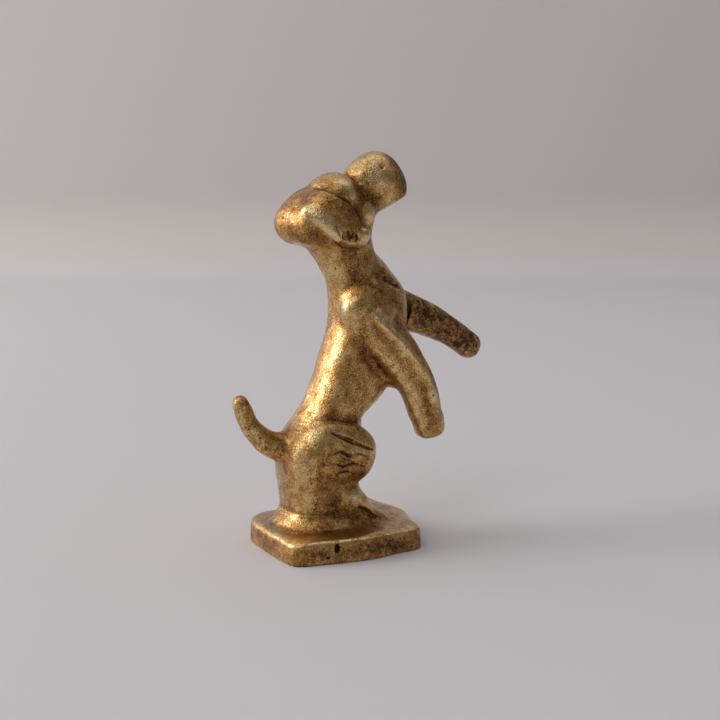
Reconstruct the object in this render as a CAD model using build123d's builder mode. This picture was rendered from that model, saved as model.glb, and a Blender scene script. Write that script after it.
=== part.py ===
from build123d import *
import os
from math import cos, radians, sin

# Begging-dog souvenir figurine in solid cast brass, 65 mm tall.
# +X is the dog's forward, +Y its left side, +Z up, in millimetres.
# The origin is the middle of the flat underside, on the surface it stands on.
# The casting is modelled region by region: each limb, lobe and block is a solid of
# its own that meets its neighbours face to face.

# ---------------------------------------------------------------- driving sizes
OVERALL_HEIGHT = 65.0        # underside to the top of the raised muzzle
PLINTH_HEIGHT = 3.8
PLINTH_TOP_EDGE = 0.9        # softened upper edge
PLINTH_BOTTOM_EDGE = 0.25    # worn lower edge
PLINTH_CORNERS = [(-12.9, -11.3), (11.2, -11.6), (12.8, 12.2), (-12.9, 10.7)]
PLINTH_CORNER_RADII = [3.2, 3.4, 3.4, 7.0]
PLINTH_EDGE_MIDDLES = [(-0.4, -12.7), (13.4, 0.2), (0.4, 12.7), (-13.1, -0.2)]
ANKLE_HEIGHT = 8.8           # where the hind feet meet the haunches
KNEE_RADIUS = 4.3

# A trunk section: (x, z) of its centre, tilt of its normal from +Z towards +X in
# degrees, half depth front to back, half width side to side.
WAIST = (-0.8, 22.1, 20, 5.5, 5.5)
NECK_BASE = (4.7, 44.2, -10, 5.5, 4.9)
BROW = (4.9, 58.0, 52, 4.5, 4.4)

FOOT_SECTIONS = [
    (-1.4, PLINTH_HEIGHT, 0, 9.0, 6.4),
    (-1.7, 5.2, 0, 8.3, 6.1),
    (-2.7, ANKLE_HEIGHT, 0, 6.8, 5.7),
]
HAUNCH_SECTIONS = [
    FOOT_SECTIONS[-1],
    (-3.0, 12.0, 0, 6.9, 6.5),
    (-3.1, 15.5, 3, 7.0, 7.2),
    (-2.4, 19.0, 12, 6.8, 6.7),
    WAIST,
]
TORSO_SECTIONS = [
    WAIST,
    (1.1, 25.6, 21, 5.5, 5.3),
    (3.5, 30.2, 18, 6.2, 5.5),
    (5.2, 35.5, 10, 6.6, 5.9),
    (6.3, 40.3, 0, 6.6, 5.7),
    NECK_BASE,
]
NECK_SECTIONS = [
    NECK_BASE,
    (2.9, 47.4, -20, 4.8, 4.5),
    (1.2, 50.4, -14, 5.5, 4.9),
    (0.2, 54.0, -10, 5.0, 4.6),
]
SKULL_SECTIONS = [
    (-9.2, 52.7, 72, 1.4, 2.0),
    (-8.3, 53.0, 70, 2.9, 3.9),
    (-6.3, 53.7, 66, 3.9, 5.4),
    (-3.2, 55.0, 62, 4.6, 6.2),
    (0.4, 56.4, 58, 4.8, 6.1),
    (2.9, 57.2, 55, 4.6, 5.3),
    BROW,
]
MUZZLE_SECTIONS = [
    BROW,
    (7.4, OVERALL_HEIGHT - 5.0, 49, 5.1, 4.8),
    (9.3, OVERALL_HEIGHT - 3.6, 46, 4.8, 4.6),
    (10.5, OVERALL_HEIGHT - 2.7, 45, 3.7, 3.6),
    (11.2, OVERALL_HEIGHT - 2.1, 45, 2.0, 2.0),
]
# The tail: (x, z), tilt of its run from +Z towards +X, radius.
TAIL_SECTIONS = [
    (-8.6, 16.4, -66, 2.8),
    (-11.4, 17.6, -60, 2.4),
    (-13.3, 18.9, -48, 1.9),
    (-15.2, 20.9, -38, 1.6),
    (-16.5, 23.3, -20, 1.35),
    (-16.95, 25.2, -10, 1.15),
    (-17.05, 26.0, -6, 0.6),
]
# A foreleg section: centre, tilt of the run from +Z towards +X, half depth, half width.
# The right foreleg hangs down in front of the belly, the left one reaches forward.
FORELEG_SECTIONS = {
    "right": [
        ((3.6, -4.6, 38.6), 142, 4.3, 2.9),
        ((7.4, -6.0, 33.6), 143, 4.1, 2.9),
        ((10.7, -6.9, 28.9), 148, 3.5, 2.7),
        ((12.6, -7.2, 25.6), 158, 3.3, 2.5),
        ((13.5, -7.2, 22.2), 170, 3.0, 2.3),
        ((14.1, -7.1, 19.4), 174, 2.6, 1.9),
        ((14.4, -7.0, 17.9), 175, 1.5, 1.1),
    ],
    "left": [
        ((6.0, 3.7, 39.6), 96, 4.2, 2.9),
        ((12.0, 4.1, 38.9), 104, 3.8, 2.8),
        ((18.2, 4.3, 36.7), 116, 3.2, 2.6),
        ((23.4, 4.4, 34.6), 120, 2.6, 2.3),
        ((27.2, 4.5, 32.3), 121, 2.35, 2.0),
        ((29.8, 4.55, 30.6), 123, 1.9, 1.6),
        ((31.0, 4.6, 29.8), 124, 1.1, 0.9),
    ],
}
# An ear flap hangs down the side of the head: (x, z) of its middle, half length along
# the head, distance of its middle from the centre plane.
EAR_SECTIONS = [
    (-2.2, 59.0, 1.6, 3.7),
    (-0.8, 56.8, 2.6, 5.1),
    (0.2, 54.2, 3.3, 5.7),
    (0.4, 51.6, 3.3, 5.5),
    (0.1, 49.4, 2.2, 4.9),
]
EAR_HALF_THICKNESS = 1.5

SIDES = {"right": -1, "left": 1}


def trunk_plane(x, z, tilt, y=0.0):
    """A plane across the dog whose normal is tilted from +Z towards +X."""
    turn = radians(tilt)
    return Plane(
        origin=(x, y, z),
        x_dir=(cos(turn), 0, -sin(turn)),
        z_dir=(sin(turn), 0, cos(turn)),
    )


def side_plane(side):
    """The centre plane, facing the dog's right (-1) or left (1)."""
    return Plane(origin=(0, 0, 0), x_dir=(1, 0, 0), z_dir=(0, side, 0))


def save(part, name):
    part.label = name
    export_step(part, f"parts/{name}.step")


os.makedirs("parts", exist_ok=True)

# ---------------------------------------------------------------- plinth
# A thick slab with bulging sides; the corner behind the dog's left foot is the roundest.
with BuildPart() as plinth:
    with BuildSketch(Plane.XY) as plinth_outline:
        with BuildLine():
            ends = PLINTH_CORNERS[1:] + PLINTH_CORNERS[:1]
            for start, middle, end in zip(PLINTH_CORNERS, PLINTH_EDGE_MIDDLES, ends):
                ThreePointArc(start, middle, end)
        make_face()
        for corner, radius in zip(PLINTH_CORNERS, PLINTH_CORNER_RADII):
            fillet(plinth_outline.vertices().sort_by_distance(corner)[0], radius)
    extrude(amount=PLINTH_HEIGHT)
    fillet(plinth.edges().group_by(Axis.Z)[-1], PLINTH_TOP_EDGE)
    chamfer(plinth.edges().group_by(Axis.Z)[0], PLINTH_BOTTOM_EDGE)
save(plinth.part, "plinth")

# ---------------------------------------------------------------- hind feet, haunches
haunches = []
for name, side in SIDES.items():
    with BuildPart() as hind_foot:
        for x, z, tilt, depth, width in FOOT_SECTIONS:
            with BuildSketch(trunk_plane(x, z, tilt)):
                Ellipse(depth, width)
        loft()
        split(bisect_by=side_plane(side), keep=Keep.TOP)
    save(hind_foot.part, f"{name}_hind_foot")

    with BuildPart() as haunch:
        for x, z, tilt, depth, width in HAUNCH_SECTIONS:
            with BuildSketch(trunk_plane(x, z, tilt)):
                Ellipse(depth, width)
        loft()
        with Locations((1.0, side * 3.6, 15.2)):
            Sphere(KNEE_RADIUS)
        split(bisect_by=side_plane(side), keep=Keep.TOP)
    save(haunch.part, f"{name}_haunch")
    haunches.append(haunch.part)

# ---------------------------------------------------------------- trunk
with BuildPart() as torso:
    for x, z, tilt, depth, width in TORSO_SECTIONS:
        with BuildSketch(trunk_plane(x, z, tilt)):
            Ellipse(depth, width)
    loft()
save(torso.part, "torso")

with BuildPart() as skull:
    for x, z, tilt, depth, width in SKULL_SECTIONS:
        with BuildSketch(trunk_plane(x, z, tilt)):
            Ellipse(depth, width)
    loft()
save(skull.part, "skull")

with BuildPart() as muzzle:
    for x, z, tilt, depth, width in MUZZLE_SECTIONS:
        with BuildSketch(trunk_plane(x, z, tilt)):
            Ellipse(depth, width)
    loft()
save(muzzle.part, "muzzle")

with BuildPart() as neck:
    for x, z, tilt, depth, width in NECK_SECTIONS:
        with BuildSketch(trunk_plane(x, z, tilt)):
            Ellipse(depth, width)
    loft()
    add(skull.part, mode=Mode.SUBTRACT)
save(neck.part, "neck")

# ---------------------------------------------------------------- ears, forelegs, tail
for name, side in SIDES.items():
    with BuildPart() as ear:
        for x, z, half_length, offset in EAR_SECTIONS:
            with BuildSketch(trunk_plane(x, z, 0, side * offset)):
                Ellipse(half_length, EAR_HALF_THICKNESS)
        loft()
        add([skull.part, neck.part], mode=Mode.SUBTRACT)
    save(ear.part, f"{name}_ear")

    with BuildPart() as foreleg:
        for (x, y, z), tilt, depth, width in FORELEG_SECTIONS[name]:
            with BuildSketch(trunk_plane(x, z, tilt, y)):
                Ellipse(depth, width)
        loft()
        add([torso.part, neck.part], mode=Mode.SUBTRACT)
    save(foreleg.part, f"{name}_foreleg")

with BuildPart() as tail:
    for x, z, tilt, radius in TAIL_SECTIONS:
        with BuildSketch(trunk_plane(x, z, tilt)):
            Circle(radius)
    loft()
    add([torso.part, *haunches], mode=Mode.SUBTRACT)
save(tail.part, "tail")

print("overall height", round(muzzle.part.bounding_box().max.Z, 2), "of", OVERALL_HEIGHT)
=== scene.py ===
from collections import Counter
from math import cos, pi, radians, sin

import bmesh
import bpy
import numpy as np
import openvdb as vdb
from mathutils import Euler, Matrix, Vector


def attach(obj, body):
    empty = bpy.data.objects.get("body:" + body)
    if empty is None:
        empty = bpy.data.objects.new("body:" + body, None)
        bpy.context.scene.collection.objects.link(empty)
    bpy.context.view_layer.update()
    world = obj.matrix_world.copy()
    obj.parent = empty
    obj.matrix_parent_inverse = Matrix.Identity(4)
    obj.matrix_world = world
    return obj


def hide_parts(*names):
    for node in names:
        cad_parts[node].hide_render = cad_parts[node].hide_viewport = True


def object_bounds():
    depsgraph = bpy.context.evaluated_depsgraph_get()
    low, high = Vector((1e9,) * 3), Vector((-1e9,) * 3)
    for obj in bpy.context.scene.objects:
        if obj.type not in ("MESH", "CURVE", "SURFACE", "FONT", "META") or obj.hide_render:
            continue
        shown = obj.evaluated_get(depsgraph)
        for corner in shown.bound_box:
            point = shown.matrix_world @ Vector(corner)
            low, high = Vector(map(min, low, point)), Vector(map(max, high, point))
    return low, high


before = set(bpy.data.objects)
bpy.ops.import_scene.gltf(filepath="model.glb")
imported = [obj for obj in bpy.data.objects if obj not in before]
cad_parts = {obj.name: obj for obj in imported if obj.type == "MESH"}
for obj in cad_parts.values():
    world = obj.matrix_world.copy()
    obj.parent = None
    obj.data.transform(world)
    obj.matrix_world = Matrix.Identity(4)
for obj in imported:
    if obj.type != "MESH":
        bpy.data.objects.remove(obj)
cad_low, cad_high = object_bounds()

# One unit is 1/65 of the CAD model's height, about a millimetre. All sculpting is done
# in these units in the CAD frame: +X forward, +Y the dog's left, +Z up.
UNIT = (cad_high.z - cad_low.z) / 65.0
STEP = 0.18      # grid spacing of the clay
FAR = 3.0                                # furthest distance that the clay records
REACH = 1.8                              # margin kept round each added form
SIDES = {"right": -1, "left": 1}


# ------------------------------------------------------------------ clay
def soft_min(a, b, blend):
    """The nearer of two distances, rounded off where they are within blend."""
    if blend <= 0:
        return np.minimum(a, b)
    share = np.clip(0.5 + 0.5 * (b - a) / blend, 0, 1)
    return b + (a - b) * share - blend * share * (1 - share)


def smooth_path(rows, steps=6):
    """Catmull-Rom points through rows of numbers, steps to each span."""
    rows = np.array(rows, float)
    padded = np.vstack([2 * rows[0] - rows[1], rows, 2 * rows[-1] - rows[-2]])
    out = []
    for i in range(1, len(padded) - 2):
        a, b, c, d = padded[i - 1:i + 3]
        for t in np.arange(steps) / steps:
            out.append(0.5 * (2 * b + (c - a) * t + (2 * a - 5 * b + 4 * c - d) * t ** 2
                              + (3 * b - a - 3 * c + d) * t ** 3))
    out.append(rows[-1])
    return np.array(out)


class Clay:
    """Signed distance to the metal on a regular grid, negative inside."""

    def __init__(self, low, high, step):
        self.step = step
        self.first = np.floor(np.array(low) / step).astype(int)
        count = np.ceil(np.array(high) / step).astype(int) - self.first + 1
        self.field = np.full(count, FAR, np.float32)
        self.axes = [((self.first[i] + np.arange(count[i])) * step).astype(np.float32)
                     for i in range(3)]

    def window(self, low, high):
        """The region of the grid round a form, and its x, y and z."""
        region = []
        for i in range(3):
            start = np.searchsorted(self.axes[i], low[i] - REACH)
            stop = np.searchsorted(self.axes[i], high[i] + REACH)
            region.append(slice(start, max(stop, start + 1)))
        x, y, z = (self.axes[i][region[i]] for i in range(3))
        return tuple(region), x[:, None, None], y[None, :, None], z[None, None, :]

    def apart(self, low, high):
        """An empty clay over part of this one's height, after the region it belongs in."""
        start = int(np.searchsorted(self.axes[2], low))
        stop = int(np.searchsorted(self.axes[2], high))
        other = Clay((0, 0, 0), (0, 0, 0), self.step)
        other.first = self.first + np.array((0, 0, start))
        other.axes = [self.axes[0], self.axes[1], self.axes[2][start:stop]]
        other.field = np.full([len(axis) for axis in other.axes], FAR, np.float32)
        return (slice(None), slice(None), slice(start, stop)), other

    def add(self, region, distance, blend, carve=False):
        """Joins a form to the clay there, or carves it away, softly within blend."""
        sign = -1 if carve else 1
        joined = soft_min(sign * self.field[region], distance.astype(np.float32), blend)
        self.field[region] = sign * joined

    def sample(self, points):
        """The field at points, by trilinear interpolation."""
        where = points / self.step - self.first
        base = np.clip(np.floor(where).astype(int), 0, np.array(self.field.shape) - 2)
        part = (where - base).astype(np.float32)
        total = np.zeros(len(points), np.float32)
        for corner in np.ndindex(2, 2, 2):
            weight = np.ones(len(points), np.float32)
            for i in range(3):
                weight *= part[:, i] if corner[i] else 1 - part[:, i]
            i, j, k = (base + np.array(corner)).T
            total += weight * self.field[i, j, k]
        return total

    def slope(self, points):
        """Unit outward normals at points."""
        out = np.zeros((len(points), 3))
        for i in range(3):
            shift = np.zeros(3)
            shift[i] = self.step * 0.75
            out[:, i] = self.sample(points + shift) - self.sample(points - shift)
        return out / np.maximum(np.linalg.norm(out, axis=1, keepdims=True), 1e-9)


def sweep(clay, sections, blend):
    """A limb whose spine lies along the dog: rows of x, y, z, radius behind, radius in
    front, half width, squareness (2 is an ellipse)."""
    rows = smooth_path(sections)
    spine = rows[:, [0, 2]]
    reach = rows[:, 3:6].max()
    low = [rows[:, 0].min() - reach, (rows[:, 1] - rows[:, 5]).min(), rows[:, 2].min() - reach]
    high = [rows[:, 0].max() + reach, (rows[:, 1] + rows[:, 5]).max(), rows[:, 2].max() + reach]
    region, x, y, z = clay.window(low, high)
    x, z = x[:, 0, :], z[0, :, :]
    best = np.full(np.broadcast_shapes(x.shape, z.shape), 1e9, np.float32)
    place = np.zeros_like(best)
    turn = np.zeros_like(best)
    for i in range(len(spine) - 1):
        run = spine[i + 1] - spine[i]
        length = max(float(run @ run), 1e-9)
        t = np.clip(((x - spine[i, 0]) * run[0] + (z - spine[i, 1]) * run[1]) / length, 0, 1)
        off_x = x - spine[i, 0] - t * run[0]
        off_z = z - spine[i, 1] - t * run[1]
        far = off_x ** 2 + off_z ** 2
        nearer = far < best
        best = np.where(nearer, far, best)
        place = np.where(nearer, i + t, place)
        side = (run[0] * off_z - run[1] * off_x) / np.sqrt(length * np.maximum(far, 1e-9))
        turn = np.where(nearer, side, turn)
    away = np.sqrt(best)
    stations = np.arange(len(rows))
    middle, behind, front, width, square = (np.interp(place, stations, rows[:, c])
                                            for c in (1, 3, 4, 5, 6))
    radius = behind + (front - behind) * (0.5 - 0.5 * turn)
    p = np.maximum(away / radius, 1e-4)[:, None, :].astype(np.float32)
    q = np.maximum(np.abs(y - middle[:, None, :]) / width[:, None, :], 1e-4).astype(np.float32)
    n = square[:, None, :].astype(np.float32)
    whole = (p ** n + q ** n) ** (1 / n)
    steep = np.hypot((p / whole) ** (n - 1) / radius[:, None, :],
                     (q / whole) ** (n - 1) / width[:, None, :])
    clay.add(region, np.clip((whole - 1) / steep, -FAR, FAR), blend)


def blob(clay, centre, radii, turn=(0, 0, 0), blend=0.8, carve=False, square=2.0):
    """An ellipsoid, or a rounded block where square is over 2, turned by degrees."""
    spin = np.array(Euler([radians(a) for a in turn]).to_matrix())
    reach = np.abs(spin) @ np.array(radii)
    region, x, y, z = clay.window(np.array(centre) - reach, np.array(centre) + reach)
    x, y, z = x - centre[0], y - centre[1], z - centre[2]
    whole = 0
    local = []
    for i in range(3):
        along = (spin[0, i] * x + spin[1, i] * y + spin[2, i] * z) / radii[i]
        local.append(np.maximum(np.abs(along), 1e-4))
        whole = whole + local[i] ** square
    whole = whole ** (1 / square)
    steep = 0
    for i in range(3):
        steep = steep + ((local[i] / whole) ** (square - 1) / radii[i]) ** 2
    clay.add(region, np.clip((whole - 1) / np.sqrt(steep), -FAR, FAR), blend, carve)


def cord_of(clay, rows, blend, carve=False, steps=5):
    """A round strand through rows of x, y, z, radius: a ridge, or a groove if carved."""
    rows = smooth_path(rows, steps)
    widest = rows[:, 3].max()
    region, x, y, z = clay.window(rows[:, :3].min(0) - widest, rows[:, :3].max(0) + widest)
    distance = np.full(np.broadcast_shapes(x.shape, y.shape, z.shape), FAR, np.float32)
    for a, b in zip(rows[:-1], rows[1:]):
        run = b[:3] - a[:3]
        length = max(float(run @ run), 1e-9)
        t = np.clip(((x - a[0]) * run[0] + (y - a[1]) * run[1] + (z - a[2]) * run[2])
                    / length, 0, 1)
        gap = np.sqrt((x - a[0] - t * run[0]) ** 2 + (y - a[1] - t * run[1]) ** 2
                      + (z - a[2] - t * run[2]) ** 2)
        distance = np.minimum(distance, gap - a[3] - t * (b[3] - a[3]))
    clay.add(region, distance, blend, carve)


def soften(field, spread):
    """Gaussian blur of the field, spread in grid steps."""
    reach = int(np.ceil(spread * 2.5))
    weights = np.exp(-0.5 * (np.arange(-reach, reach + 1) / spread) ** 2)
    weights = (weights / weights.sum()).astype(np.float32)
    for axis in range(3):
        pad = [(0, 0)] * 3
        pad[axis] = (reach, reach)
        wide = np.pad(field, pad, mode="edge")
        size = field.shape[axis]
        out = np.zeros_like(field)
        for i, weight in enumerate(weights):
            window = [slice(None)] * 3
            window[axis] = slice(i, i + size)
            out += weight * wide[tuple(window)]
        field = out
    return field


def lumps(clay, size, seed):
    """Smooth random values over the grid, about size across, with spread near 1."""
    draw = np.random.default_rng(seed)
    weights = []
    counts = []
    for axis in clay.axes:
        place = (axis - axis[0]) / size
        count = int(place[-1]) + 5
        base = np.floor(place).astype(int)
        t = place - base
        spline = np.stack([(1 - t) ** 3, 3 * t ** 3 - 6 * t ** 2 + 4,
                           -3 * t ** 3 + 3 * t ** 2 + 3 * t + 1, t ** 3], 1) / 6
        table = np.zeros((len(axis), count), np.float32)
        for i in range(4):
            table[np.arange(len(axis)), base + i] = spline[:, i]
        weights.append(table)
        counts.append(count)
    out = draw.standard_normal(counts).astype(np.float32)
    out = np.tensordot(weights[0], out, (1, 0))
    out = np.moveaxis(np.tensordot(weights[1], out, (1, 1)), 0, 1)
    out = np.moveaxis(np.tensordot(weights[2], out, (1, 2)), 0, 2)
    return out / 0.35      # the splines bring the spread of the draws down to this


# ------------------------------------------------------------------ the sculpture
def column(clay, sections, blend):
    """An upright form on the centre plane: rows of height, back, front, half width,
    squareness (2 is an ellipse)."""
    rows = smooth_path(sections)
    reach = np.abs(rows[:, 1:3]).max()
    wide = rows[:, 3].max()
    region, x, y, z = clay.window((-reach, -wide, rows[0, 0]), (reach, wide, rows[-1, 0]))
    x, z = x[:, 0, :], z[0, :, :]
    back, front, half_width, square = (np.interp(z, rows[:, 0], rows[:, i])
                                       for i in range(1, 5))
    p = np.abs(x - (back + front) / 2) / ((front - back) / 2)
    p = np.maximum(p, 1e-4)[:, None, :].astype(np.float32)
    q = np.maximum(np.abs(y) / half_width[:, None, :], 1e-4).astype(np.float32)
    n = square[:, None, :].astype(np.float32)
    whole = (p ** n + q ** n) ** (1 / n) - 1
    steep = np.sqrt(sum(g ** 2 for g in np.gradient(whole, clay.step)))
    distance = whole / np.maximum(steep, 0.05)
    past = np.maximum(rows[0, 0] - z, z - rows[-1, 0])[:, None, :]
    clay.add(region, np.clip(np.maximum(distance, past), -FAR, FAR), blend)


def touch(clay, x, z, side):
    """The y of the clay's outer surface on that side, at x, z."""
    ys = np.arange(0, 14, 0.05) * side
    points = np.stack([np.full_like(ys, x), ys, np.full_like(ys, z)], 1)
    inside = np.nonzero(clay.sample(points) < 0)[0]
    return ys[inside[-1]] if len(inside) else 0.0


THIN = 0.4       # a scratch blended by less than this is sharp enough to hold dirt
scored = []      # the rows of every thin scratch


def scratch(clay, path, side, radius, sunk=0.0, blend=0.15, carve=True):
    """A groove along the clay's flank through x, z points, thin at both ends, or a ridge
    where it isn't carved. The groove's middle lies sunk below the surface."""
    steps = smooth_path([(x, 0, z) for x, z in path], 5)
    rows = []
    for i, (x, _, z) in enumerate(steps):
        taper = sin(pi * (i + 0.6) / (len(steps) + 0.2)) ** 0.5
        rows.append((x, touch(clay, x, z, side) - side * sunk, z, radius * taper))
    if blend < THIN:
        scored.append(rows)
    cord_of(clay, rows, blend, carve, steps=2)


PLINTH_CORNERS = [(-12.9, -11.3), (11.3, -11.75), (12.9, 12.2), (-12.9, 10.7)]
CORNER_REACH = [3.2, 4.0, 3.2, 7.0]      # how far each corner's rounding runs
BULGES = [1.1, 1.5, 1.2, 0.2]            # how far the side after each corner bows out
PLINTH_TOP = 3.8
PLINTH_EDGE = 0.95                       # radius of the upper edge
LEAN = 0.03                              # how much the flanks lean in toward the top


def sculpt_plinth(clay):
    """The slab: four bulging sides and unequal rounded corners."""
    region, x, y, z = clay.window((-13.5, -13.2, 0), (13.5, 13.2, PLINTH_TOP))
    flat = polygon_distance(plinth_outline(), x[:, :, 0], y[:, :, 0])[:, :, None]
    side = flat + PLINTH_EDGE + LEAN * (z - 1.0)
    cap = z - PLINTH_TOP + PLINTH_EDGE
    distance = (np.minimum(np.maximum(side, cap), 0)
                + np.hypot(np.maximum(side, 0), np.maximum(cap, 0)) - PLINTH_EDGE)
    clay.add(region, distance, 1.3)


def plinth_outline():
    """Points round the slab: arcs between the corners, each corner rounded."""
    points = []
    corners = np.array(PLINTH_CORNERS)
    for i, (here, after) in enumerate(zip(corners, np.roll(corners, -1, axis=0))):
        arrive = (here - corners[i - 1]) / np.linalg.norm(here - corners[i - 1])
        leave = (after - here) / np.linalg.norm(after - here)
        start = here - arrive * CORNER_REACH[i]
        end = here + leave * CORNER_REACH[i]
        for t in np.linspace(0, 1, 9):
            points.append((1 - t) ** 2 * start + 2 * t * (1 - t) * here + t ** 2 * end)
        far = after - leave * CORNER_REACH[(i + 1) % len(corners)]
        outward = np.array((leave[1], -leave[0]))
        for t in np.linspace(0, 1, 13)[1:-1]:
            points.append(end + (far - end) * t + outward * BULGES[i] * np.sin(pi * t) ** 1.5)
    return np.array(points)


def polygon_distance(outline, x, y):
    """Signed distance to a closed outline, negative inside."""
    x, y = np.broadcast_arrays(x, y)
    best = np.full(x.shape, 1e9)
    inside = np.zeros(x.shape, bool)
    for a, b in zip(outline, np.roll(outline, -1, axis=0)):
        run = b - a
        t = np.clip(((x - a[0]) * run[0] + (y - a[1]) * run[1]) / (run @ run), 0, 1)
        best = np.minimum(best, np.hypot(x - a[0] - t * run[0], y - a[1] - t * run[1]))
        crosses = (a[1] > y) != (b[1] > y)
        with np.errstate(divide="ignore", invalid="ignore"):
            hit = x < a[0] + (y - a[1]) * run[0] / run[1]
        inside ^= crosses & hit
    return np.where(inside, -best, best)


def sculpt_feet(clay):
    """The mound on the plinth and the hind feet."""
    # Low rounded shelf that the feet stand on.
    column(clay, [(2.0, -11.0, 8.6, 8.1, 2.2),
                  (3.6, -10.9, 8.3, 7.7, 2.2),
                  (4.1, -10.7, 7.7, 7.3, 2.2),
                  (4.8, -10.4, 6.9, 6.9, 2.3),
                  (5.4, -9.9, 5.8, 6.4, 2.4),
                  (5.9, -9.3, 4.8, 5.9, 2.6)], 0.6)
    for side in SIDES.values():
        # Instep and forefoot, sloping down to the toes, and the knob of the hock.
        blob(clay, (0.5, side * 4.1, 7.6), (4.7, 2.3, 2.9), (0, 42, side * 2), 0.8, square=2.2)
        blob(clay, (3.9, side * 3.6, 4.9), (4.3, 2.2, 1.9), (0, 26, side * 2), 0.8, square=2.2)
        blob(clay, (0.2, side * 5.2, 9.0), (1.6, 1.0, 1.1), (0, 20, 0), 0.9)
        cord_of(clay, [(3.5, side * 2.2, 7.2, 0.3), (5.4, side * 2.1, 5.9, 0.5),
                       (7.6, side * 2.1, 4.4, 0.4)], 0.5, carve=True)
    # Hollow between the feet.
    cord_of(clay, [(3.0, 0, 7.6, 0.5), (5.2, 0, 6.0, 1.0), (7.6, 0, 4.9, 1.0)], 0.8, carve=True)


def sculpt_body(clay):
    """Rump and shins, then the trunk up to the neck."""
    column(clay, [(3.6, -9.1, 2.6, 5.8, 3.0),
                  (6.0, -9.0, 2.7, 5.7, 3.0),
                  (9.0, -9.2, 3.0, 5.8, 3.0),
                  (12.0, -9.6, 3.1, 6.2, 3.0),
                  (15.0, -9.9, 3.6, 6.4, 2.8),
                  (17.6, -9.7, 3.8, 6.1, 2.6),
                  (19.6, -8.5, 3.6, 5.3, 2.5),
                  (21.0, -7.0, 3.6, 4.5, 2.4)], 0.9)
    for side in SIDES.values():
        # Thigh: a thick rounded slab on the side of the rump, its front end the knee.
        blob(clay, (-1.6, side * 4.2, 16.2), (6.2, 2.8, 5.3), (0, 12, side * 3), 0.6, square=2.4)
        blob(clay, (1.2, side * 3.9, 15.5), (4.1, 3.5, 4.3), (0, 20, 0), 0.7, square=2.1)
        # Flattened flank under the thigh.
        blob(clay, (0.9, side * 7.9, 11.3), (2.4, 1.9, 1.3), (0, -10, 0), 1.3, carve=True)
    region, trunk = clay.apart(17, 56)
    column(trunk, [(19.0, -8.0, 4.2, 4.9, 2.5),
                   (21.4, -6.8, 4.3, 5.0, 2.6),
                   (22.8, -5.8, 5.6, 5.1, 2.6),
                   (24.2, -4.9, 7.3, 5.2, 2.6),
                   (25.6, -4.3, 8.8, 5.3, 2.6),
                   (28.2, -3.1, 10.5, 5.5, 2.6),
                   (30.9, -2.2, 11.5, 5.7, 2.6),
                   (33.6, -1.2, 12.1, 5.8, 2.6),
                   (36.3, -0.4, 12.5, 5.8, 2.6),
                   (39.0, -0.2, 12.8, 5.7, 2.5),
                   (41.4, -0.4, 12.7, 5.4, 2.4),
                   (42.9, -0.8, 12.0, 5.1, 2.3),
                   (44.3, -1.3, 11.0, 4.8, 2.2),
                   (45.6, -2.0, 10.0, 4.6, 2.2),
                   (46.9, -2.7, 8.8, 4.4, 2.2),
                   (48.2, -3.6, 7.5, 4.3, 2.2),
                   (49.5, -4.6, 6.8, 4.3, 2.2),
                   (51.0, -5.4, 6.3, 4.3, 2.2),
                   (54.0, -5.4, 6.6, 4.2, 2.2)], 0)
    trunk.field = soften(trunk.field, 0.35 / clay.step)
    clay.add(region, trunk.field, 0.55)
    for side in SIDES.values():
        # Withers, the hollow behind the shoulder, the hollow of the neck, the chest fold.
        blob(clay, (4.0, side * 4.8, 38.5), (1.9, 1.5, 1.1), (0, 20, side * -14), 1.2)
        blob(clay, (0.6, side * 6.9, 36.2), (1.7, 1.4, 3.0), (0, 20, 0), 1.2, carve=True)
        blob(clay, (1.4, side * 6.2, 45.6), (2.0, 1.7, 2.9), (0, -14, 0), 1.2, carve=True)
        cord_of(clay, [(5.0, side * 4.7, 44.0, 0.3), (6.4, side * 4.5, 43.0, 0.55),
                       (9.0, side * 3.5, 41.7, 0.6), (10.9, side * 2.4, 40.1, 0.4)], 0.9)
        cord_of(clay, [(5.4, side * 5.4, 45.4, 0.2), (7.8, side * 4.7, 44.0, 0.3),
                       (9.7, side * 3.9, 42.8, 0.2)], 0.8, carve=True)


def sculpt_tail(clay):
    """Short tail, curving up behind the rump."""
    sweep(clay, [(-8.0, 0, 16.6, 2.7, 2.7, 2.7, 2),
                 (-11.4, 0, 17.7, 2.2, 2.1, 2.1, 2),
                 (-13.4, 0, 19.1, 1.85, 1.8, 1.75, 2),
                 (-15.2, 0, 21.1, 1.6, 1.65, 1.55, 2),
                 (-16.28, 0, 23.4, 1.45, 1.5, 1.4, 2),
                 (-16.83, 0, 25.0, 1.25, 1.25, 1.25, 2.1)], 1.6)
    # Casting split down the right side of the tip.
    cord_of(clay, [(-17.3, -1.2, 25.7, 0.2), (-17.0, -1.4, 24.4, 0.3), (-16.9, -1.5, 22.9, 0.25),
                   (-16.7, -1.5, 21.7, 0.1)], 0.1, carve=True)


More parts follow.
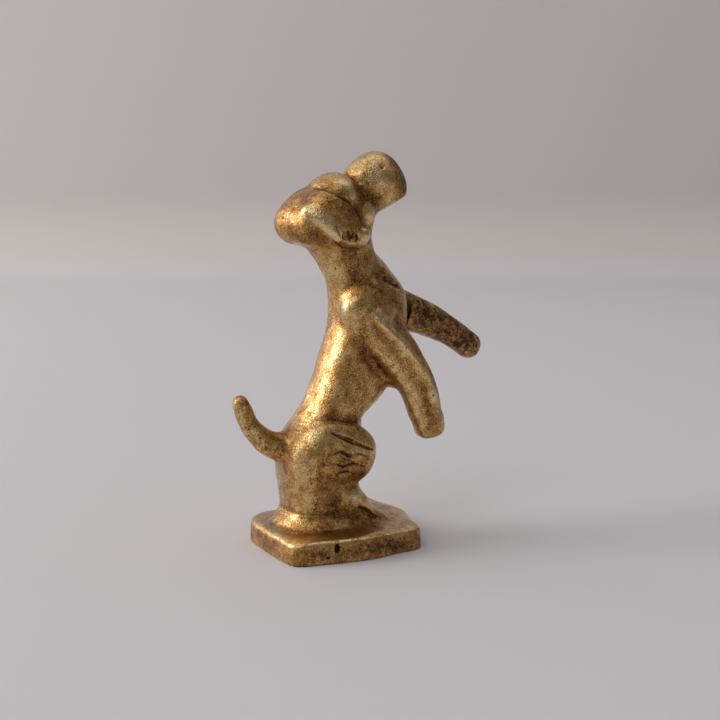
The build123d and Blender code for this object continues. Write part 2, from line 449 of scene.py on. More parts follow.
def sculpt_forelegs(clay):
    """The hanging right foreleg and the raised left one."""
    # Right foreleg hangs down and forward, with a raised seam along its outer face.
    sweep(clay, [(3.4, -4.0, 39.4, 3.8, 3.8, 2.4, 2.2),
                 (7.3, -5.4, 33.9, 3.8, 3.7, 2.8, 2.3),
                 (10.4, -6.5, 29.3, 3.3, 3.3, 2.7, 2.4),
                 (12.2, -7.0, 25.8, 3.1, 3.1, 2.4, 2.5),
                 (13.2, -7.2, 22.4, 2.85, 2.85, 2.2, 2.5),
                 (13.8, -7.1, 20.6, 2.6, 2.6, 2.0, 2.4)], 1.2)
    blob(clay, (14.1, -7.1, 20.2), (2.6, 1.9, 2.5), (0, -8, 0), 0.3, square=3.2)
    cord_of(clay, [(4.6, -6.4, 38.6, 0.5), (6.6, -7.2, 36.2, 0.9), (9.0, -8.1, 32.9, 1.1),
                   (11.2, -8.6, 29.6, 1.2), (12.9, -8.7, 26.4, 1.0), (13.9, -8.6, 23.0, 0.7)], 1.1)
    # Its outer front corner is filed to a long flat.
    cord_of(clay, [(10.6, -10.4, 38.8, 5.0), (12.0, -10.9, 37.0, 5.0), (15.0, -12.0, 32.5, 5.0),
                   (17.2, -12.5, 28.2, 5.0), (18.5, -12.6, 24.3, 5.0), (19.3, -12.5, 20.0, 5.0)],
            0.12, carve=True)
    # Web of metal left in the armpit.
    blob(clay, (8.8, -4.7, 28.2), (2.4, 2.2, 2.1), (0, 0, 0), 0.9)
    # Left foreleg reaches out in front.
    sweep(clay, [(6.0, 3.6, 39.4, 4.2, 4.2, 2.8, 2.2),
                 (12.0, 4.1, 38.9, 3.7, 3.7, 2.8, 2.3),
                 (18.2, 4.3, 36.9, 3.1, 3.1, 2.6, 2.4),
                 (23.4, 4.4, 34.7, 2.55, 2.6, 2.3, 2.4),
                 (27.2, 4.5, 32.4, 2.3, 2.4, 2.0, 2.4),
                 (29.3, 4.55, 31.0, 2.1, 2.2, 1.8, 2.3)], 1.3)
    blob(clay, (29.0, 4.55, 31.1), (2.5, 1.8, 2.25), (0, 34, 0), 0.4, square=2.4)
    # Ring of rough metal where it leaves the chest.
    cord_of(clay, [(14.6, 1.2, 40.0, 0.3), (15.3, 1.5, 38.3, 0.5), (14.9, 1.9, 36.4, 0.3)], 0.4,
            carve=True)


def sculpt_head(clay):
    """Throat, skull, ears, brow and muzzle, tipped back."""
    # Cheek and throat, carrying the neck up to the muzzle.
    column(clay, [(47.0, -0.6, 5.6, 2.8, 2.2),
                  (49.5, -3.4, 6.4, 4.3, 2.2),
                  (51.0, -4.2, 6.3, 4.5, 2.2),
                  (54.0, -3.0, 7.0, 4.1, 2.2),
                  (57.0, -1.0, 8.6, 3.8, 2.2),
                  (59.5, 0.5, 9.6, 3.4, 2.2)], 0.8)
    # Skull: long and rounded from the occiput up to the brow, with a fuller underside.
    region, skull = clay.apart(45, 70)
    for across, ahead in ((0, 0.3), (-1, 1.0), (1, 0)):
        # Broad and blunt across the back, so three eggs side by side, the right one ahead.
        blob(skull, (ahead - 3.7, across * 2.0, 54.8), (5.7, 3.3, 3.9), (0, -36, 0), 1.0,
             square=2.2)
        blob(skull, (ahead - 6.2, across * 2.2, 53.3), (2.8, 2.7, 2.9), (0, -30, 0), 1.2)
        blob(skull, (ahead - 2.9, across * 2.2, 53.1), (5.1, 3.4, 2.8), (0, 4, 0), 1.6,
             square=2.2)
    for side in SIDES.values():
        # Ear: a thick soft flap laid down the side of the skull, its tip by the neck.
        blob(skull, (-1.7, side * 4.3, 54.3), (4.7, 2.2, 2.9), (0, 46, side * 14), 1.5, square=2.2)
        blob(skull, (0.9, side * 5.0, 51.4), (2.7, 1.8, 1.8), (0, 10, 0), 0.9, square=2.2)
        cord_of(skull, [(-6.4, side * 3.8, 55.4, 0.7), (-4.8, side * 4.7, 54.0, 0.9),
                        (-3.2, side * 5.9, 52.5, 1.1), (-2.1, side * 6.5, 51.5, 1.0)], 1.3)
    # Brow: a rounded cap in front of the crease.
    blob(skull, (-0.4, 0, 57.5), (4.4, 5.1, 3.9), (0, -30, 0), 0.3)
    clay.add(region, skull.field, 1.0)
    # Muzzle: a blunt rounded block with a flat nose.
    region, muzzle = clay.apart(50, 70)
    blob(muzzle, (7.3, 0, 59.7), (5.2, 3.8, 4.9), (0, -36, 0), 0, square=2.4)
    blob(muzzle, (8.8, 0, 59.55), (3.0, 4.7, 4.3), (0, -36, 0), 1.6, square=2.3)
    blob(muzzle, (16.2, 0, 64.6), (4.8, 9.0, 9.0), (0, -28, 0), 0.6, carve=True, square=3)
    blob(muzzle, (6.9, 0, 52.1), (8.0, 9.0, 1.8), (0, -40, 0), 0.8, carve=True, square=2.5)
    clay.add(region, muzzle.field, 0.5)
    for side in SIDES.values():
        # Cheek bone in front of the ear.
        blob(clay, (4.2, side * 3.5, 54.9), (1.3, 1.0, 1.8), (0, 14, 0), 0.6)
        # Hollow under the ear's back edge, a pitted one in its tip, a worn knob in front.
        blob(clay, (-5.9, side * 5.7, 50.6), (2.6, 1.2, 1.5), (0, 30, side * -20), 1.5, carve=True)
        blob(clay, (-0.5, side * 7.2, 51.2), (1.7, 0.9, 1.1), (0, 20, 0), 0.4, carve=True)
        scratch(clay, [(-0.9, 52.4), (-0.4, 51.4), (-0.3, 50.6)], side, 0.22)
        scratch(clay, [(0.4, 52.2), (0.8, 51.2), (0.7, 50.4)], side, 0.27)
        scratch(clay, [(-0.2, 52.5), (0.1, 51.8), (0.1, 51.0)], side, 0.18)
        blob(clay, (2.4, side * 5.7, 51.7), (1.25, 1.15, 1.2), (0, 0, 0), 0.4)
        # Sharp back edge of the tip, and the crease between brow and ear.
        scratch(clay, [(-3.1, 53.1), (-2.4, 51.6), (-1.8, 50.3), (-0.8, 49.5)], side, 0.26, 0, 0.3)
        scratch(clay, [(-3.9, 59.0), (-2.2, 58.1), (-0.4, 57.1), (0.9, 56.2), (1.9, 55.2)], side,
                0.3, 0.0, 0.5)


# Casting pits in the right flank: x, z, radius.
PITS = [(-3.0, 32.2, 0.34), (7.0, 62.4, 0.3), (4.7, 59.8, 0.26), (7.4, 44.3, 0.4),
        (-1.5, 25.6, 0.25), (1.9, 48.6, 0.22), (12.4, 31.4, 0.28), (6.6, 30.0, 0.2)]


def sculpt_flaws(clay):
    """File marks and casting pits, on the right side only."""
    side = SIDES["right"]
    # Soft step where the shoulder and foreleg rise from the trunk.
    scratch(clay, [(3.3, 40.3), (2.1, 37.6), (2.0, 33.8), (3.6, 30.9), (6.0, 28.3)], side,
            0.6, -0.5, 0.8)
    # Raised edge left by the file along the outside of the foreleg.
    scratch(clay, [(4.3, 38.0), (7.2, 35.0), (10.4, 31.2), (12.3, 28.0), (13.5, 24.4)], side,
            0.5, 0.1, 0.7, carve=False)
    # File slot and wavy scratches on the thigh, and a crease over the foot.
    scratch(clay, [(-3.6, 20.0), (-1.2, 18.8), (1.4, 17.5), (3.6, 16.6)], side, 0.34, 0.08)
    scratch(clay, [(-3.4, 16.6), (-2.2, 16.9), (-0.8, 16.1), (0.8, 16.3), (2.4, 15.6)], side,
            0.17)
    scratch(clay, [(-3.4, 14.9), (-1.8, 14.4), (-0.2, 14.8), (1.6, 14.0)], side, 0.17)
    scratch(clay, [(-3.0, 13.0), (-1.4, 13.5), (0.4, 12.8)], side, 0.15)
    scratch(clay, [(1.4, 6.9), (3.2, 5.8), (4.8, 4.7)], side, 0.35, 0.05, 0.5)
    for x, z, radius in PITS:
        blob(clay, (x, touch(clay, x, z, side), z), (radius,) * 3, blend=0.1, carve=True)
    # Two longer pits in the plinth's flank.
    for x, z, radii in ((-5.6, 2.5, (0.42, 0.8, 0.75)), (-7.0, 1.1, (0.3, 0.5, 0.25))):
        blob(clay, (x, touch(clay, x, z, side), z), radii, blend=0.1, carve=True)


def sculpt():
    """The whole figurine in clay."""
    low = np.array(cad_low) / UNIT
    high = np.array(cad_high) / UNIT
    clay = Clay(low - 1.5, high + 1.5, STEP)
    sculpt_feet(clay)
    sculpt_body(clay)
    sculpt_tail(clay)
    sculpt_head(clay)
    sculpt_forelegs(clay)
    sculpt_plinth(clay)
    sculpt_flaws(clay)
    # Uneven skin of a sand casting: wide lumps and smaller ones. Then the flat underside.
    clay.field += 0.045 * lumps(clay, 2.6, seed=1) + 0.022 * lumps(clay, 1.1, seed=2)
    under = -clay.axes[2][None, None, :]
    clay.field = -soft_min(-clay.field, -np.broadcast_to(under, clay.field.shape), 0.3)
    return clay


def skin(clay):
    """Points and quads of the clay's surface."""
    grid = vdb.FloatGrid(FAR)
    grid.copyFromArray(clay.field)
    points, quads = grid.convertToQuads(isovalue=0.0)
    points = (points + clay.first) * clay.step
    for _ in range(2):
        miss = np.clip(clay.sample(points), -0.5 * clay.step, 0.5 * clay.step)
        points = points - clay.slope(points) * miss[:, None]
    return points, quads


def placed(name, data):
    """A new object of the data, in the scene."""
    piece = bpy.data.objects.new(name, data)
    bpy.context.scene.collection.objects.link(piece)
    return piece


def read(items, field, width=1, kind=float):
    """One field of all the points, corners or faces of a mesh."""
    values = np.zeros(len(items) * width, kind)
    items.foreach_get(field, values)
    return values.reshape(-1, width) if width > 1 else values


def make_mesh(name, points, faces):
    """An object of points in metres and of faces that all have as many corners."""
    mesh = bpy.data.meshes.new(name)
    mesh.vertices.add(len(points))
    mesh.vertices.foreach_set("co", np.asarray(points, np.float32).ravel())
    mesh.loops.add(faces.size)
    mesh.polygons.add(len(faces))
    mesh.loops.foreach_set("vertex_index", faces.astype(np.int32).ravel())
    mesh.polygons.foreach_set("loop_start", np.arange(len(faces), dtype=np.int32) * faces.shape[1])
    mesh.update(calc_edges=True)
    mesh.validate()
    return placed(name, mesh)


# Dark strokes are partly dirt and patina and partly painted shade: creases, under the knee,
# by the toes, faces turned from the light, the dark end of the nose. Light strokes are partly
# wear where hands have rubbed and partly painted highlights where the light catches. Both
# sides alike: start and end of a stroke, its full and outer radius, its strength.
GRIME_AND_SHADE = [((3.2, -4.0, 58.8), (6.2, -4.2, 56.2), 0.6, 2.2, 0.8),
         ((0.4, -4.6, 47.6), (2.6, -5.0, 43.8), 1.2, 3.0, 0.6),
         ((7.0, -3.8, 45.2), (10.0, -3.0, 42.2), 0.3, 1.4, 0.3),
         ((11.0, -2.5, 63.4), (11.6, -3.4, 58.8), 0.8, 3.4, 1.9),
         ((-2.6, -5.6, 56.8), (1.4, -6.2, 53.2), 1.0, 3.0, 0.9),
         ((-8.6, -2.6, 55.8), (-3.6, -3.2, 59.4), 0.8, 3.2, 0.7),
         ((12.0, -9.0, 27.0), (13.8, -8.8, 18.5), 0.5, 1.8, 0.7),
         ((-3.4, -6.5, 15.5), (-3.6, -6.0, 8.0), 1.5, 3.4, 0.6),
         ((3.6, -5.0, 11.6), (5.2, -3.0, 9.4), 0.8, 2.6, 0.7),
         ((-4.1, -5.4, 22.6), (0.8, -5.4, 21.8), 0.3, 1.5, 0.8),
         ((4.6, -2.4, 5.6), (6.4, -3.0, 4.4), 0.8, 2.4, 0.9),
         ((12.4, -8.4, 33.0), (17.0, -8.6, 21.0), 0.6, 2.0, 0.5),
         ((9.2, -6.4, 25.4), (12.2, -6.8, 19.4), 0.6, 2.2, 0.9),
         ((0.8, -5.5, 36.0), (1.4, -5.4, 26.0), 1.2, 3.6, 0.2),
         ((-0.8, -6.6, 51.3), (0.6, -6.6, 51.0), 0.9, 2.0, 0.6),
         ((-5.6, -12.2, 2.8), (-5.6, -12.2, 2.2), 0.5, 0.8, 1.8),
         ((-9.0, -1.0, 54.5), (-7.6, -3.6, 51.8), 1.4, 3.4, 0.9),
         ((-2.4, -6.9, 14.6), (2.4, -6.9, 14.2), 1.0, 3.0, 0.7),
         ((-3.4, -6.4, 12.0), (0.0, -6.4, 6.4), 1.0, 3.0, 0.5),
         ((-3.2, -5.6, 58.2), (1.4, -5.6, 55.4), 0.2, 1.2, 0.7)]
# Light strokes: wear on high points, and painted highlights where the window's light catches.
WEAR_AND_HIGHLIGHTS = [((-1.6, -4.0, 35.0), (-5.0, -3.8, 25.0), 0.6, 2.2, 0.5),
          ((-8.6, -4.6, 17.5), (-8.8, -4.4, 6.0), 0.8, 3.0, 0.5),
          ((-6.0, -4.4, 55.4), (-2.4, -6.6, 51.9), 0.5, 1.7, 0.7),
          ((-2.0, -3.6, 49.0), (-0.4, -3.8, 40.5), 0.8, 2.4, 0.5),
          ((2.5, -6.4, 51.7), (2.5, -6.4, 51.6), 0.5, 1.3, 0.8),
          ((4.3, -4.2, 55.8), (4.5, -4.2, 54.0), 0.4, 1.2, 0.6),
          ((0.9, -4.9, 59.6), (2.2, -4.9, 56.8), 0.2, 0.8, 0.6),
          ((4.3, -6.9, 38.0), (10.4, -8.6, 31.2), 0.4, 1.0, 0.9),
          ((10.4, -8.6, 31.2), (13.8, -9.2, 24.1), 0.4, 1.0, 0.9),
          ((3.6, -5.8, 39.4), (4.2, -6.1, 38.0), 0.6, 1.8, 0.7),
          ((4.1, -4.6, 62.0), (5.2, -4.2, 60.4), 0.8, 3.0, 0.8),
          ((-1.2, -6.4, 9.8), (1.0, -6.2, 8.8), 0.5, 1.8, 0.8),
          ((-8.0, -4.6, 19.4), (-7.4, -5.6, 17.4), 0.8, 2.6, 0.9),
          ((-8.6, -5.6, 5.6), (-1.6, -8.4, 5.2), 0.4, 1.4, 0.7)]
DIRT_WIDTH = (0.05, 0.32)     # full and outer radius of the dirt along a scratch
LONGEST_SCRATCH = 6.0         # no scratch reaches further than this from its middle


def near_line(points, start, end, inner, outer):
    """1 within inner of a line, falling to 0 at outer."""
    start, end = np.array(start, float), np.array(end, float)
    run = end - start
    t = np.clip((points - start) @ run / (run @ run), 0, 1)
    gap = np.linalg.norm(points - start - t[:, None] * run, axis=1)
    return np.clip((outer - gap) / (outer - inner), 0, 1)


def strokes(points, table):
    """The strongest stroke of a table at each point."""
    value = np.zeros(len(points))
    for start, end, inner, outer, strength in table:
        value = np.maximum(value, strength * near_line(points, start, end, inner, outer))
    return value


def relief_fields(clay):
    """Blurred copies of the clay that tell hollow from high: each with its name, the
    scale that brings it to about 1, and the least value that a hollow may have."""
    solid = np.clip(clay.field, -2, 2)
    out = []
    for name, spread, scale, deepest in (("broad", 1.1, 1.6, -0.4), ("fine", 0.42, 4.5, -0.7)):
        _, copy = clay.apart(clay.axes[2][0], clay.axes[2][-1] + 1)
        copy.field = soften(solid, spread / clay.step)
        out.append((name, copy, scale, deepest))
    return out


def mark_relief(mesh, reliefs):
    """What the brass needs to know at each point: hollow or high, rough cast or filed,
    grimy or in painted shade, rubbed or with a painted highlight."""
    points = read(mesh.vertices, "co", 3) / UNIT
    values = {}
    for name, field, scale, deepest in reliefs:
        values[name] = np.clip(field.sample(points) * scale, deepest, 1)
    cast = near_line(points, (15.5, 4.3, 38), (30, 4.5, 31), 3.2, 4.6)
    fold = near_line(points, (6.0, -4.6, 45.0), (9.6, -3.6, 42.4), 0.8, 2.2)
    tail = near_line(points, (-17, 0, 26), (-11.5, 0, 17.7), 1.8, 4.0)
    values["rough_cast"] = np.maximum.reduce([cast, 0.45 * tail, 0.4 * fold])
    values["filed"] = np.maximum.reduce([
        near_line(points, (6.5, -8, 35.5), (12.5, -9, 28), 2.6, 4.2),
        0.6 * near_line(points, (-3, -6.8, 16), (2.5, -6.8, 14.5), 2.4, 4.2)])
    even = np.stack([points[:, 0], -np.abs(points[:, 1]), points[:, 2]], 1)
    # Wear, and painted highlights where the light catches.
    values["polish_and_highlight"] = strokes(even, WEAR_AND_HIGHLIGHTS)
    # Painted shade: the plinth's flanks below its top are darkened.
    flank_shade = np.clip((3.6 - points[:, 2]) / 0.8, 0, 1)
    values["grime_and_shade"] = np.maximum(strokes(even, GRIME_AND_SHADE) - values["polish_and_highlight"], flank_shade)
    values["dirt"] = np.zeros(len(points))
    for rows in scored:
        middle = np.mean(rows, axis=0)[:3]
        close = np.linalg.norm(points - middle, axis=1) < LONGEST_SCRATCH
        for start, end in zip(rows[:-1], rows[1:]):
            here = near_line(points[close], start[:3], end[:3], *DIRT_WIDTH)
            values["dirt"][close] = np.maximum(values["dirt"][close], here)
    for name, value in values.items():
        layer = mesh.attributes.new(name, "FLOAT", "POINT")
        layer.data.foreach_set("value", value.astype(np.float32))


# ------------------------------------------------------------------ cutting up the casting
def half(x, y, z, through=(0, 0, 0)):
    """The half-space on the side that the vector x, y, z points to, past a point."""
    return Vector((x, y, z)).normalized(), Vector(through)


FEET_TOP = half(0, 0, -1, (0, 0, 8.8))
WAIST = half(-0.342, 0, -0.94, (-0.8, 0, 22.1))
EAR_EDGES = [half(-0.54, 0, -0.84, (-4.3, 0, 59.1)), half(0.79, 0, 0.61, (-7.2, 0, 56.4)),
             half(0, 0, 1, (0, 0, 48.9))]

# The casting is cut along the planes where the CAD nodes meet. Each piece takes what is
# left inside all its half-spaces, or inside all of its second list; the torso is the rest.
# The left haunch's side plane is a hair past the right one's, so that no cut grazes a face
# that is already cut.
CUTS = [
    ("plinth", [half(0, 0, -1, (0, 0, 4.05))]),
    ("right_hind_foot", [FEET_TOP, half(0, -1, 0)]),
    ("left_hind_foot", [FEET_TOP]),
    ("tail", [half(-0.85, 0, 0.5, (-15.53, 0, 10.14)), half(0, 0, -1, (0, 0, 29))]),
    ("right_foreleg", [half(0.3, -0.92, -0.25, (6.5, -5.4, 34.5)), half(0, 0, 1, (0, 0, 26)),
                       half(0.83, 0, 0.555, (1, 0, 38)), half(0, 0, -1, (0, 0, 45)),
                       half(-1, 0, 0, (20, 0, 0))],
     [half(0, 0, -1, (0, 0, 27)), half(1, 0, 0, (8.2, 0, 0)), half(0, -1, 0, (0, -3.2, 0))]),
    ("left_foreleg", [half(0.75, 0.62, -0.2, (11.5, 4.0, 38)), half(0, 0, 1, (0, 0, 24)),
                      half(1, 0, 0, (8, 0, 0)), half(0, 0, -1, (0, 0, 45))]),
    ("muzzle", [half(0.788, 0, 0.616, (4.9, 0, 58.0)), half(0, 0, 1, (0, 0, 50))]),
    ("right_ear", [half(0, -1, 0, (0, -4.5, 0)), *EAR_EDGES]),
    ("left_ear", [half(0, 1, 0, (0, 4.5, 0)), *EAR_EDGES]),
    ("skull", [half(-0.349, 0, 0.937, (-5.0, 0, 49.3))]),
    ("neck", [half(-0.174, 0, 0.985, (4.7, 0, 44.2))]),
    ("right_haunch", [WAIST, half(0, -1, 0)]),
    ("left_haunch", [WAIST, half(0, 1, 0, (0, -0.02, 0))]),
]


BLOCK_SIZE = 0.24       # metres, well past the figurine on every side
WELD = 0.0002           # points closer than this become one
ON_PLANE = 0.003        # a cut face's middle is nearer than this to its plane
ALONG_PLANE = 0.9999    # and its normal at least this much along the plane's


def block(planes):
    """A closed convex mesh: a big cube trimmed to the half-spaces."""
    shape = bmesh.new()
    bmesh.ops.create_cube(shape, size=BLOCK_SIZE)
    for normal, through in planes:
        everything = shape.verts[:] + shape.edges[:] + shape.faces[:]
        cut = bmesh.ops.bisect_plane(shape, geom=everything, plane_co=through * UNIT,
                                     plane_no=-normal, clear_outer=True)
        rim = [e for e in cut["geom_cut"] if isinstance(e, bmesh.types.BMEdge)]
        if rim:
            bmesh.ops.contextual_create(shape, geom=rim)
    bmesh.ops.recalc_face_normals(shape, faces=shape.faces[:])
    mesh = bpy.data.meshes.new("block")
    shape.to_mesh(mesh)
    shape.free()
    return placed("block", mesh)


def combined(piece, other, operation):
    """A new mesh of piece with other joined, cut away or kept in common."""
    tool = piece.modifiers.new("tool", "BOOLEAN")
    tool.solver = "MANIFOLD"
    tool.operation = operation
    tool.object = other
    mesh = bpy.data.meshes.new_from_object(
        piece.evaluated_get(bpy.context.evaluated_depsgraph_get()))
    piece.modifiers.remove(tool)
    return mesh


def welded(mesh):
    """The mesh as triangles, without the slivers and flakes that a cut leaves on its rim."""
    shape = bmesh.new()
    shape.from_mesh(mesh)
    bmesh.ops.remove_doubles(shape, verts=shape.verts, dist=WELD * UNIT)
    bmesh.ops.triangulate(shape, faces=shape.faces[:])
    # A flake is two faces back to back, or a face with a free edge. Taking some off can
    # bare others, so the search is repeated a few times.
    for _ in range(8):
        same = Counter(frozenset(face.verts) for face in shape.faces)
        flakes = [face for face in shape.faces if same[frozenset(face.verts)] > 1
                  or any(edge.is_boundary for edge in face.edges)]
        if not flakes:
            break
        bmesh.ops.delete(shape, geom=flakes, context="FACES")
    shape.to_mesh(mesh)
    shape.free()
    return mesh


def cut_up(casting):
    """The casting as closed pieces, by name."""
    pieces = {}
    for name, planes, *more in CUTS:
        cutter = block(planes)
        for extra in more:
            other = block(extra)
            cutter.data = combined(cutter, other, "UNION")
            bpy.data.objects.remove(other)
        pieces[name] = welded(combined(casting, cutter, "INTERSECT"))
        casting.data = combined(casting, cutter, "DIFFERENCE")
        bpy.data.objects.remove(cutter)
    pieces["torso"] = welded(casting.data)
    bpy.data.objects.remove(casting)
    return pieces


def face_normals(mesh, clay):
    """Corner normals from the clay, so that no seam shows; flat on the cut faces."""
    flat = read(mesh.polygons, "normal", 3)
    middle = read(mesh.polygons, "center", 3) / UNIT
    on_cut = np.zeros(len(flat), bool)
    for _, *cells in CUTS:
        for normal, through in [plane for cell in cells for plane in cell]:
            along = np.abs(flat @ np.array(normal)) > ALONG_PLANE
            gap = np.abs((middle - np.array(through)) @ np.array(normal))
            on_cut |= along & (gap < ON_PLANE)
    on_cut &= middle[:, 2] > 0.5      # the underside is skin, not a cut
    corners = read(mesh.loops, "vertex_index", kind=np.int32)
    owner = np.repeat(np.arange(len(flat)), read(mesh.polygons, "loop_total", kind=np.int32))
    smooth = clay.slope(read(mesh.vertices, "co", 3) / UNIT)
    normals = np.where(on_cut[owner][:, None], flat[owner], smooth[corners])
    layer = mesh.attributes.new("custom_normal", "FLOAT_VECTOR", "CORNER")
    layer.data.foreach_set("vector", normals.astype(np.float32).ravel())
    # The rim of a cut face is sharp, so that its corners keep normals of their own.
    edges = read(mesh.loops, "edge_index", kind=np.int32)
    rim = np.bincount(edges, on_cut[owner], len(mesh.edges)) > 0
    layer = mesh.attributes.new("sharp_edge", "BOOLEAN", "EDGE")
    layer.data.foreach_set("value", rim)


# ------------------------------------------------------------------ materials
class Graph:
    """Shorthand for building a material's nodes."""

    def __init__(self, name):
        self.material = bpy.data.materials.new(name)
        self.material.use_nodes = True
        self.nodes = self.material.node_tree.nodes
        self.links = self.material.node_tree.links
        self.shader = self.nodes["Principled BSDF"]

    def put(self, kind, settings=(), **sockets):
        """A node with its settings, its named sockets fed by values or by other nodes."""
        node = self.nodes.new(kind)
        for key, value in dict(settings).items():
            setattr(node, key, value)
        for key, value in sockets.items():
            self.feed(node.inputs[int(key[1:]) if key[0] == "_" else key], value)
        return node

    def feed(self, socket, value):
        if hasattr(value, "outputs"):
            value = value.outputs[0]
        if hasattr(value, "links"):
            self.links.new(value, socket)
        else:
            socket.default_value = value

    def mark(self, name):
        """One of the marks that mark_relief left at the points."""
        return self.put("ShaderNodeAttribute", {"attribute_name": name}).outputs["Fac"]

    def math(self, kind, a, b=0.0, c=0.0):
        return self.put("ShaderNodeMath", {"operation": kind}, _0=a, _1=b, _2=c)

    def noise(self, place, scale, detail=3.0, rough=0.6):
        return self.put("ShaderNodeTexNoise", {}, Vector=place, Scale=scale, Detail=detail,
                        Roughness=rough)

    def spread(self, value, low, high, out_low=0.0, out_high=1.0):
        return self.put("ShaderNodeMapRange", {"interpolation_type": "SMOOTHSTEP"}, _0=value,
                        _1=low, _2=high, _3=out_low, _4=out_high)

    def ramp(self, value, stops):
        node = self.put("ShaderNodeValToRGB", {}, Fac=value)
        elements = node.color_ramp.elements
        while len(elements) < len(stops):
            elements.new(0.5)
        for element, (place, colour) in zip(elements, stops):
            element.position = place
            element.color = (*colour, 1)
        return node

    def mix(self, share, a, b, kind="MIX"):
        node = self.put("ShaderNodeMix", {"data_type": "RGBA", "blend_type": kind})
        self.feed(node.inputs[0], share)
        for socket, colour in ((6, a), (7, b)):
            self.feed(node.inputs[socket], (*colour, 1) if isinstance(colour, tuple) else colour)
        return node.outputs[2]


def aged_brass():
    """Old cast brass: gold where it is rubbed and where highlights are painted, brown in
    hollows, darker with dirt and with painted shade, mottled and pitted.
    """
    g = Graph("aged_brass")
    place = g.put("ShaderNodeTexCoord").outputs["Object"]
    rough_cast, filed, grime_and_shade, polish_and_highlight, dirt = (
        g.mark(name) for name in ("rough_cast", "filed", "grime_and_shade", "polish_and_highlight", "dirt"))
    mottle = g.noise(place, 230, 5, 0.62)
    patch = g.noise(place, 900, 5, 0.66)
    speck = g.noise(place, 4200, 3, 0.6)
    uneven_patch, uneven_speck = (g.math("SUBTRACT", value, 0.5) for value in (patch, speck))
    # Share of brown patina: dirt and painted shade from the dark strokes add to it, wear and
    # painted highlights from the light strokes take from it.
    brown = g.math("MULTIPLY_ADD", mottle, 0.9, -0.45)
    for value, weight in ((uneven_patch, 1.15),
                          (uneven_speck, g.math("MULTIPLY_ADD", polish_and_highlight, -1.0, 1.8)),
                          (polish_and_highlight, -0.18), (dirt, 0.32),
                          (uneven_patch, g.math("MULTIPLY", rough_cast, 1.6)),
                          (g.math("MINIMUM", g.mark("broad"), 0.4), -0.42),
                          (g.math("MINIMUM", g.mark("fine"), 0.35), -0.35),
                          (rough_cast, 0.5), (grime_and_shade, 0.36)):
        brown = g.math("MULTIPLY_ADD", value, weight, brown)
    brown = g.math("ADD", brown, 0.42)
    colour = g.ramp(brown, [(0.0, (0.76, 0.595, 0.30)), (0.35, (0.53, 0.288, 0.080)),
                            (0.62, (0.31, 0.146, 0.033)), (0.85, (0.15, 0.057, 0.010)),
                            (1.0, (0.045, 0.020, 0.006))])
    warm = g.math("MULTIPLY", g.spread(g.noise(place, 160, 3, 0.5), 0.46, 0.66), 0.25)
    colour = g.mix(warm, colour, (1.0, 0.80, 0.72), "MULTIPLY")
    green = g.math("MULTIPLY", g.spread(g.noise(place, 140, 2, 0.5), 0.42, 0.30), 0.7)
    colour = g.mix(green, colour, (0.90, 1.0, 0.84), "MULTIPLY")
    # Casting pits: dots scattered more thickly on the rough cast parts.
    cells = g.put("ShaderNodeTexVoronoi", {}, Vector=place, Scale=1150.0)
    dot = g.spread(cells.outputs["Distance"], 0.30, 0.12)
    chosen = g.noise(place, 420, 2, 0.5)
    chosen = g.math("MULTIPLY_ADD", rough_cast, 0.14, chosen)
    dot = g.math("MULTIPLY", dot, g.spread(chosen, 0.56, 0.66))
    colour = g.mix(g.math("MULTIPLY", dot, 0.8), colour, (0.035, 0.02, 0.01))
    g.feed(g.shader.inputs["Base Color"], colour)
    g.shader.inputs["Metallic"].default_value = 1.0
    # Thin film of old wax and grime: a pale sheen over the metal.
    g.shader.inputs["Coat Weight"].default_value = 0.4
    g.shader.inputs["Coat Roughness"].default_value = 0.14
    rough = 0.22
    for value, weight in ((brown, 0.22), (polish_and_highlight, -0.12), (grime_and_shade, 0.12), (uneven_speck, 0.25)):
        rough = g.math("MULTIPLY_ADD", value, weight, rough)
    rough = g.put("ShaderNodeClamp", {}, Value=rough, Min=0.16, Max=0.7)
    g.feed(g.shader.inputs["Roughness"], rough)
    # Grain of the casting, pits, and fine file marks.
    grain = g.math("MULTIPLY_ADD", speck, 1.0, g.math("MULTIPLY", patch, 1.4))
    grain = g.math("MULTIPLY_ADD", dot, -0.9, grain)
    marks = g.put("ShaderNodeMapping", {}, Vector=place, Rotation=(0.0, radians(-34), 0.0),
                  Scale=(3600.0, 900.0, 260.0))
    marks = g.put("ShaderNodeTexNoise", {}, Vector=marks, Scale=1.0, Detail=2.0)
    filed = g.math("MULTIPLY_ADD", filed, 1.1, 0.25)
    grain = g.math("MULTIPLY_ADD", marks, filed, grain)
    tall = g.math("MULTIPLY_ADD", rough_cast, 1.4, 1.0)
    bump = g.put("ShaderNodeBump", {}, Strength=0.7, Distance=0.00010,
                 Height=g.math("MULTIPLY", grain, tall))
    g.feed(g.shader.inputs["Normal"], bump)
    return g.material


# ------------------------------------------------------------------ studio
def toward(azimuth, elevation):
    """The way to look from the dog: azimuth 0 is its right side, 90 its front."""
    a, e = radians(azimuth), radians(elevation)
    return Vector((sin(a) * cos(e), -cos(a) * cos(e), sin(e)))


def area_light(name, azimuth, elevation, distance, size, power, colour, target):
    """A soft light that shines on target from that azimuth and elevation."""
    away = toward(azimuth, elevation)
    data = bpy.data.lights.new(name, "AREA")
    data.shape = "RECTANGLE"
    data.size, data.size_y = size
    data.energy = power
    data.color = colour
    light = placed(name, data)
    light.location = target + away * distance
    light.rotation_euler = away.to_track_quat("Z", "Y").to_euler()


VIEW_AZIMUTH = -28.2        # the camera stands off the dog's right rear
VIEW_ELEVATION = 8.24
VIEW_DISTANCE = 212.6
LENS = 63.55                # focal length for a sensor 36 wide
SIGHT = Vector((4.9, 0, 30.45))      # what the camera looks at


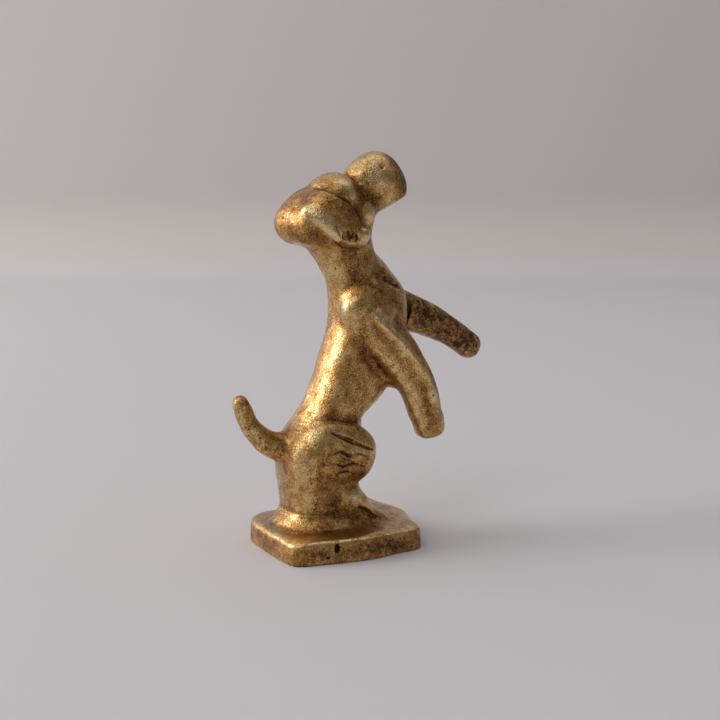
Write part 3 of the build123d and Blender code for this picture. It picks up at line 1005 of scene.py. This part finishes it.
def studio():
    """Camera, backdrop and lights as in the photo."""
    target = SIGHT * UNIT
    back = toward(VIEW_AZIMUTH, VIEW_ELEVATION)
    data = bpy.data.cameras.new("camera")
    data.lens = LENS
    data.sensor_width = 36
    data.clip_start = 0.005
    data.clip_end = 10
    camera = placed("camera", data)
    camera.location = target + back * VIEW_DISTANCE * UNIT
    camera.rotation_euler = back.to_track_quat("Z", "Y").to_euler()
    bpy.context.scene.camera = camera

    backdrop(target, -back, (0.64, 0.625, 0.65), (0.64, 0.60, 0.59))
    world = bpy.data.worlds.new("studio")
    world.use_nodes = True
    background = world.node_tree.nodes["Background"]
    background.inputs["Color"].default_value = (0.86, 0.82, 0.80, 1)
    background.inputs["Strength"].default_value = 0.20
    bpy.context.scene.world = world
    area_light("window", -114, 22, 1.7, (0.85, 0.95), 16, (1.0, 0.985, 0.96), target)
    area_light("glow", -152, 10, 1.0, (0.7, 0.7), 2.4, (1.0, 0.985, 0.95), target)
    area_light("ceiling", 165, 68, 1.5, (2.6, 2.6), 16, (1.0, 0.98, 0.97), target)
    area_light("room", -58, 42, 1.8, (0.9, 0.9), 5, (1.0, 0.98, 0.96), target)
    bpy.context.scene.view_settings.view_transform = "Standard"


def backdrop(target, ahead, floor, wall):
    """One sheet: floor under the dog, curving up into a wall square to the view, with a
    colour for each."""
    along = Vector((ahead.x, ahead.y, 0)).normalized()
    across = Vector((-along.y, along.x, 0))
    front, wall_at, bend, reach, tall = -1.6, 0.58, 0.05, 2.2, 1.6      # metres
    profile = [(front, 0.0), (wall_at - bend, 0.0)]
    profile += [(wall_at - bend + bend * sin(t), bend - bend * cos(t))
                for t in np.linspace(0, pi / 2, 17)[1:]]
    profile += [(wall_at, tall)]
    middle = Vector((target.x, target.y, 0))
    points = [middle + along * d + across * side + Vector((0, 0, h))
              for d, h in profile for side in (-reach, reach)]
    faces = np.array([[2 * i, 2 * i + 2, 2 * i + 3, 2 * i + 1] for i in range(len(profile) - 1)])
    piece = make_mesh("backdrop", np.array(points), faces)
    piece.data.polygons.foreach_set("use_smooth", np.ones(len(faces), bool))
    g = Graph("backdrop")
    place = g.put("ShaderNodeTexCoord").outputs["Object"]
    height = g.put("ShaderNodeSeparateXYZ", {}, Vector=place).outputs["Z"]
    g.feed(g.shader.inputs["Base Color"], g.mix(g.spread(height, 0.001, 0.016), floor, wall))
    g.shader.inputs["Roughness"].default_value = 0.8
    piece.data.materials.append(g.material)


clay = sculpt()
points, quads = skin(clay)
brass = aged_brass()
whole = make_mesh("casting", points * UNIT, quads)
pieces = cut_up(whole)
reliefs = relief_fields(clay)
for node, mesh in pieces.items():
    mesh.name = "cast_" + node
    mesh.materials.clear()
    mesh.materials.append(brass)
    mesh.polygons.foreach_set("use_smooth", np.ones(len(mesh.polygons), bool))
    mark_relief(mesh, reliefs)
    face_normals(mesh, clay)
    piece = placed("cast_" + node, mesh)
    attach(piece, "root")
    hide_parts(node)
studio()
